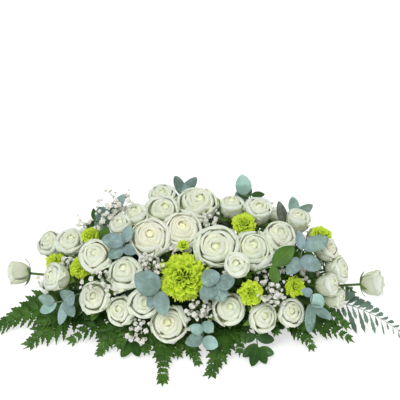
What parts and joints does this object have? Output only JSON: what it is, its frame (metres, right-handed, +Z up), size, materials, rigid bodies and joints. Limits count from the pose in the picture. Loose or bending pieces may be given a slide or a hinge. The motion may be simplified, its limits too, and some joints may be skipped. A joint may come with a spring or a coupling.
{
  "type": "flower arrangement",
  "caption": "Long, low table arrangement of white roses, lime carnations, eucalyptus, fern and tiny white blossoms on a foam block in a shallow tray.",
  "frame": {"origin": "middle of the tray's underside, on the surface it stands on", "axes": "+X along the arrangement, to the right seen from its front; +Y from the front to the back; +Z up"},
  "size_m": [0.6874, 0.4066, 0.25],
  "materials": {
    "rose_petal": "soft matte petal, white to cream",
    "carnation_petal": "soft matte ruffled petal, lime green",
    "stem_green": "smooth satin green stem, calyx and rose leaf",
    "eucalyptus_leaf": "matte waxy grey-green leaf",
    "eucalyptus_stem": "thin brown-green twig",
    "fern_leaf": "satin mid to dark green frond",
    "dusty_leaf": "matte dusty grey-green frond",
    "dark_leaf": "glossy dark green leaf",
    "tiny_blossom": "matte white blossom on a thin green stalk",
    "foam": "dull dark green wet foam",
    "tray": "plain dark green moulded plastic"
  },
  "bodies": {
    "root": {"carnation_stem_01": "carnation_petal", "carnation_stem_02": "carnation_petal", "carnation_stem_03": "carnation_petal", "carnation_stem_04": "carnation_petal", "carnation_stem_05": "carnation_petal", "carnation_stem_06": "carnation_petal", "carnation_stem_07": "carnation_petal", "dusty_fern": "dusty_leaf", "eucalyptus_01": "eucalyptus_leaf", "eucalyptus_02": "eucalyptus_leaf", "eucalyptus_03": "eucalyptus_leaf", "eucalyptus_04": "eucalyptus_leaf", "eucalyptus_05": "eucalyptus_leaf", "eucalyptus_06": "eucalyptus_leaf", "eucalyptus_07": "eucalyptus_leaf", "eucalyptus_08": "eucalyptus_leaf", "eucalyptus_09": "eucalyptus_leaf", "eucalyptus_10": "eucalyptus_leaf", "eucalyptus_11": "eucalyptus_leaf", "fern_01": "fern_leaf", "fern_02": "fern_leaf", "fern_03": "fern_leaf", "fern_04": "fern_leaf", "fern_05": "fern_leaf", "fern_06": "fern_leaf", "fern_07": "fern_leaf", "foam": "foam", "gypsophila_01": "tiny_blossom", "gypsophila_02": "tiny_blossom", "gypsophila_03": "tiny_blossom", "gypsophila_04": "tiny_blossom", "gypsophila_05": "tiny_blossom", "pittosporum_01": "dark_leaf", "pittosporum_02": "dark_leaf", "rose_stem_01": "rose_petal", "rose_stem_02": "rose_petal", "rose_stem_03": "rose_petal", "rose_stem_04": "rose_petal", "rose_stem_05": "rose_petal", "rose_stem_06": "rose_petal", "rose_stem_07": "rose_petal", "rose_stem_08": "rose_petal", "rose_stem_09": "rose_petal", "rose_stem_10": "rose_petal", "rose_stem_11": "rose_petal", "rose_stem_12": "rose_petal", "rose_stem_13": "rose_petal", "rose_stem_14": "rose_petal", "rose_stem_15": "rose_petal", "rose_stem_16": "rose_petal", "rose_stem_17": "rose_petal", "rose_stem_18": "rose_petal", "rose_stem_19": "rose_petal", "rose_stem_20": "rose_petal", "rose_stem_21": "rose_petal", "rose_stem_22": "rose_petal", "rose_stem_23": "rose_petal", "rose_stem_24": "rose_petal", "rose_stem_25": "rose_petal", "tray": "tray"}
  },
  "joints": []
}
